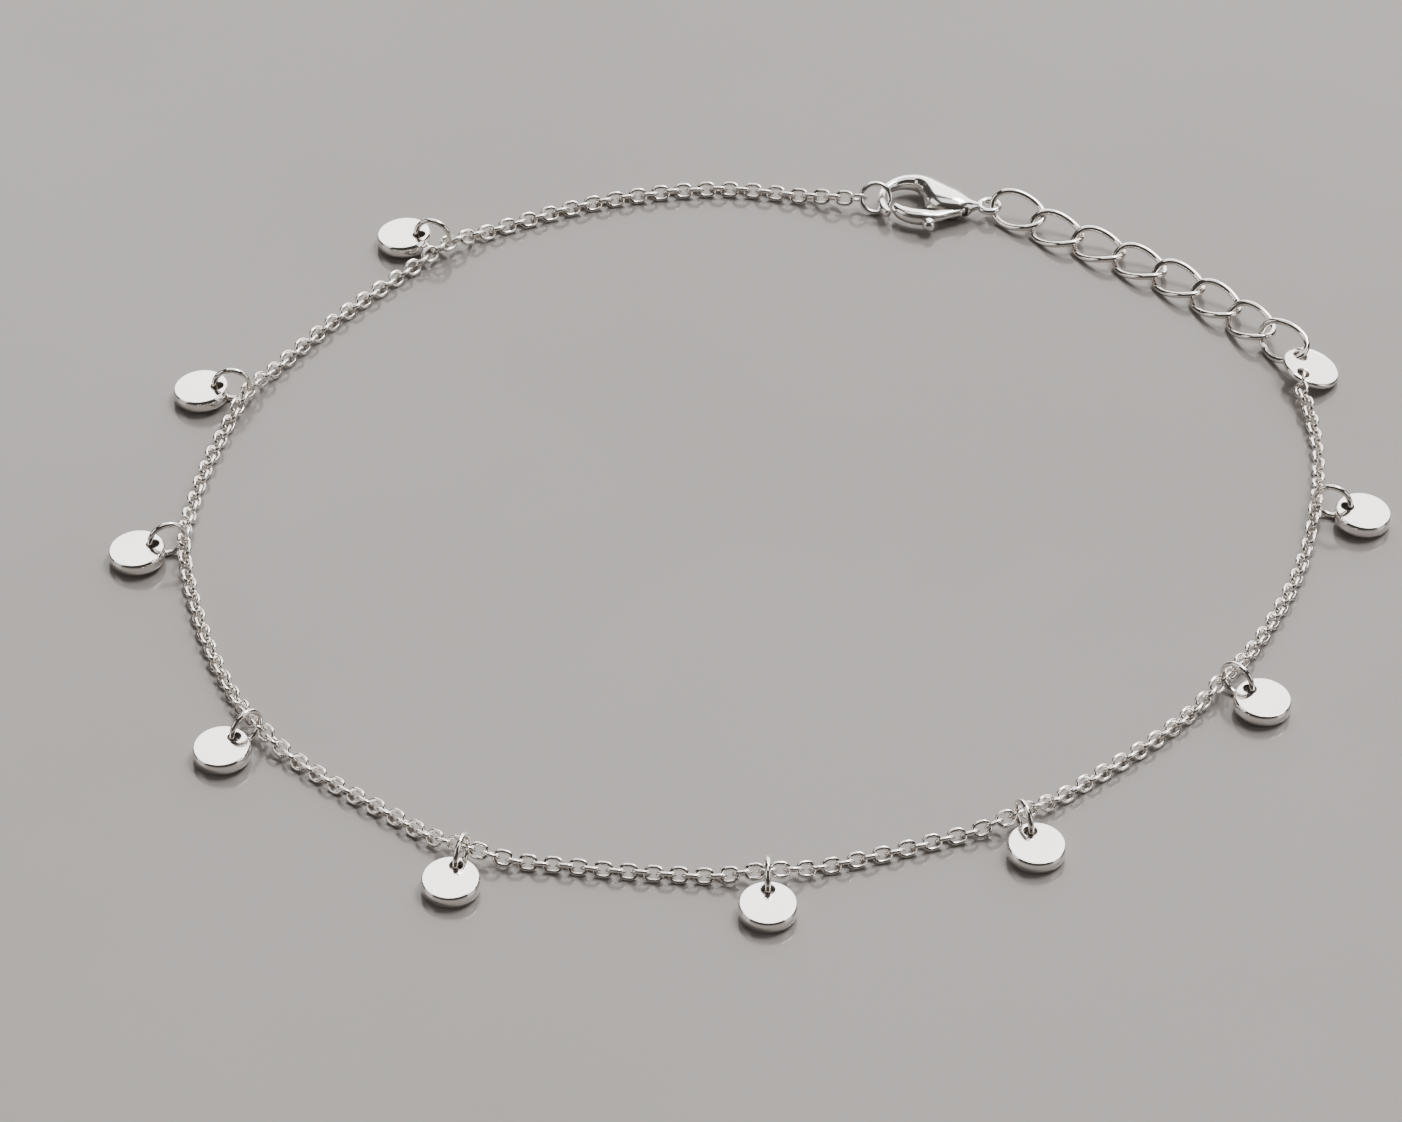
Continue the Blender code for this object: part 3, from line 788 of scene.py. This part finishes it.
def chain_tree(material):
    """Geometry Nodes that put one wire link on each point, lying along "along" and facing "face"."""
    tree = bpy.data.node_groups.new("cable_chain", "GeometryNodeTree")
    face = tree.interface
    face.new_socket("Geometry", in_out="INPUT", socket_type="NodeSocketGeometry")
    for name in ("Length", "Width", "Corner Radius", "Wire Radius"):
        face.new_socket(name, in_out="INPUT", socket_type="NodeSocketFloat")
    face.new_socket("Geometry", in_out="OUTPUT", socket_type="NodeSocketGeometry")
    new = tree.nodes.new
    link = tree.links.new
    entry = new("NodeGroupInput")
    exit_ = new("NodeGroupOutput")
    frame_line = new("GeometryNodeCurvePrimitiveQuadrilateral")
    link(entry.outputs["Length"], frame_line.inputs["Width"])
    link(entry.outputs["Width"], frame_line.inputs["Height"])
    shape = new("GeometryNodeFilletCurve")
    shape.mode = "POLY"
    shape.inputs["Count"].default_value = LINK_CORNER_STEPS
    link(frame_line.outputs["Curve"], shape.inputs["Curve"])
    link(entry.outputs["Corner Radius"], shape.inputs["Radius"])
    section = new("GeometryNodeCurvePrimitiveCircle")
    section.inputs["Resolution"].default_value = LINK_WIRE_SIDES
    link(entry.outputs["Wire Radius"], section.inputs["Radius"])
    wire = new("GeometryNodeCurveToMesh")
    link(shape.outputs["Curve"], wire.inputs["Curve"])
    link(section.outputs["Curve"], wire.inputs["Profile Curve"])
    smooth = new("GeometryNodeSetShadeSmooth")
    link(wire.outputs["Mesh"], smooth.inputs["Geometry"])
    vectors = []
    for name in ("along", "face"):
        read = new("GeometryNodeInputNamedAttribute")
        read.data_type = "FLOAT_VECTOR"
        read.inputs["Name"].default_value = name
        vectors.append(read.outputs["Attribute"])
    turn = new("FunctionNodeAxesToRotation")
    turn.primary_axis = "X"
    turn.secondary_axis = "Z"
    link(vectors[0], turn.inputs["Primary Axis"])
    link(vectors[1], turn.inputs["Secondary Axis"])
    put = new("GeometryNodeInstanceOnPoints")
    link(entry.outputs["Geometry"], put.inputs["Points"])
    link(smooth.outputs["Geometry"], put.inputs["Instance"])
    link(turn.outputs["Rotation"], put.inputs["Rotation"])
    real = new("GeometryNodeRealizeInstances")
    link(put.outputs["Instances"], real.inputs["Geometry"])
    coat = new("GeometryNodeSetMaterial")
    coat.inputs["Material"].default_value = material
    link(real.outputs["Geometry"], coat.inputs["Geometry"])
    link(coat.outputs["Geometry"], exit_.inputs["Geometry"])
    return tree


def make_chain(material):
    centres = link_places()
    count = len(centres)
    rng = random.Random(CHAIN_SEED)
    along, face = [], []
    for i, at in enumerate(centres):
        way = (centres[min(i + 1, count - 1)] - centres[max(i - 1, 0)]).normalized()
        # The chain runs anticlockwise seen from above, so its left side looks into the loop.
        inward = Vector((0, 0, 1)).cross(way).normalized()
        up = way.cross(inward)
        lean = math.radians(LINK_LEAN if i % 2 == 0 else -LINK_LEAN)
        lean += math.radians(rng.uniform(-LINK_SWAY, LINK_SWAY))
        along.append(way)
        face.append(math.cos(lean) * up + math.sin(lean) * inward)
    mesh = bpy.data.meshes.new("link_points")
    mesh.from_pydata([(c + SHIFT) * MM for c in centres], [], [])
    for name, values in (("along", along), ("face", face)):
        layer = mesh.attributes.new(name, "FLOAT_VECTOR", "POINT")
        layer.data.foreach_set("vector", [v for vector in values for v in vector])
    chain = bpy.data.objects.new("look_fine_chain", mesh)
    bpy.context.scene.collection.objects.link(chain)
    tree = chain_tree(material)
    nodes = chain.modifiers.new("links", "NODES")
    nodes.node_group = tree
    sizes = {"Length": 2 * LINK_HALF_LENGTH, "Width": 2 * LINK_HALF_WIDTH,
             "Corner Radius": LINK_CORNER, "Wire Radius": LINK_WIRE}
    for item in tree.interface.items_tree:
        if item.in_out == "INPUT" and item.name in sizes:
            nodes[item.identifier] = sizes[item.name] * MM
    bpy.context.view_layer.update()
    graph = bpy.context.evaluated_depsgraph_get()
    made = bpy.data.meshes.new_from_object(chain.evaluated_get(graph))
    chain.modifiers.clear()
    chain.data = made
    for name in ("along", "face"):
        if name in made.attributes:
            made.attributes.remove(made.attributes[name])
    outward(chain)
    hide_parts("fine_chain")
    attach(chain, "anklet")
    for name, (x, y, z, *turn) in FINE_ENDS.items():
        link = swept("look_" + name, oval(*END_LINK, END_LINK_STEPS), END_LINK_WIRE, END_LINK_SIDES)
        moved(link, (x, y, z), link_turn(*turn))
        dress(link, material, name)


def area_light(name, at, aim, size, watts, tint):
    data = bpy.data.lights.new(name, "AREA")
    data.shape = "RECTANGLE"
    data.size, data.size_y = size
    data.energy = watts
    data.color = tint
    lamp = bpy.data.objects.new(name, data)
    bpy.context.scene.collection.objects.link(lamp)
    lamp.location = at
    lamp.rotation_euler = (Vector(aim) - Vector(at)).to_track_quat("-Z", "Y").to_euler()
    return lamp


def make_stage():
    side, back = FLOOR_SIDE, FLOOR_BACK
    corners = [(-side, -side, 0), (side, -side, 0), (side, back, 0), (-side, back, 0)]
    floor = mesh_object("floor", corners, [(0, 1, 2, 3)])
    if floor.data.polygons[0].normal.z < 0:
        floor.data.flip_normals()
    floor.data.materials.append(floor_material())
    world = bpy.data.worlds.new("studio")
    bpy.context.scene.world = world
    world.use_nodes = True
    world.node_tree.nodes["Background"].inputs["Color"].default_value = ROOM_TONE
    world.node_tree.nodes["Background"].inputs["Strength"].default_value = 1.0
    for light in LIGHTS:
        area_light(*light)
    area_light(*CEILING).visible_diffuse = False


def make_camera():
    data = bpy.data.cameras.new("photo_camera")
    camera = bpy.data.objects.new("photo_camera", data)
    bpy.context.scene.collection.objects.link(camera)
    data.sensor_width = CAMERA_SENSOR
    data.lens = CAMERA_LENS
    data.clip_start = CAMERA_NEAR
    ahead = Vector((0, math.cos(CAMERA_DOWN), -math.sin(CAMERA_DOWN)))
    right = Vector((1, 0, 0))
    down = ahead.cross(right)
    c, s = math.cos(CAMERA_ROLL), math.sin(CAMERA_ROLL)
    right, down = c * right + s * down, c * down - s * right
    turn = Matrix((right, -down, -ahead)).transposed().to_4x4()
    camera.matrix_world = Matrix.Translation((Vector(CAMERA_PLACE) + SHIFT) * MM) @ turn
    bpy.context.scene.camera = camera


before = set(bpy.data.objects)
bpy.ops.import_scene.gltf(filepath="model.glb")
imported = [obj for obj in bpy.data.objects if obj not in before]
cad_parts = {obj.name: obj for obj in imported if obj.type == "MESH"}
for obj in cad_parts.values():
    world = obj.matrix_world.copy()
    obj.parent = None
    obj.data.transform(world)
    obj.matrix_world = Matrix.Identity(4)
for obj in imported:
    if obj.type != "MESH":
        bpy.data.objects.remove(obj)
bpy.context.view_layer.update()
polished = silver("look_polished_silver", (0.985, 0.945, 0.92), rough=0.075, wear=0.6, scratch=0.6)
drawn = silver("look_drawn_silver", (0.90, 0.86, 0.82), rough=0.06, wear=0.7, scratch=0.8)
cast = silver("look_cast_silver", (0.94, 0.915, 0.89), rough=0.13, wear=1.2, scratch=1.0)
lever_finish = silver("look_lever_silver", (0.92, 0.89, 0.86), rough=0.17, wear=1.3, scratch=1.0)
# Darker silver for the holes' walls: painted shade inside the holes
hole_wall_shade = silver("look_hole_shade_silver", (0.50, 0.455, 0.42), rough=0.26, wear=1.0, scratch=0.6)
make_charms(polished, hole_wall_shade)
make_jump_rings(drawn)
make_extension(drawn, hole_wall_shade)
make_clasp(cast, lever_finish)
make_chain(drawn)
make_stage()
make_camera()
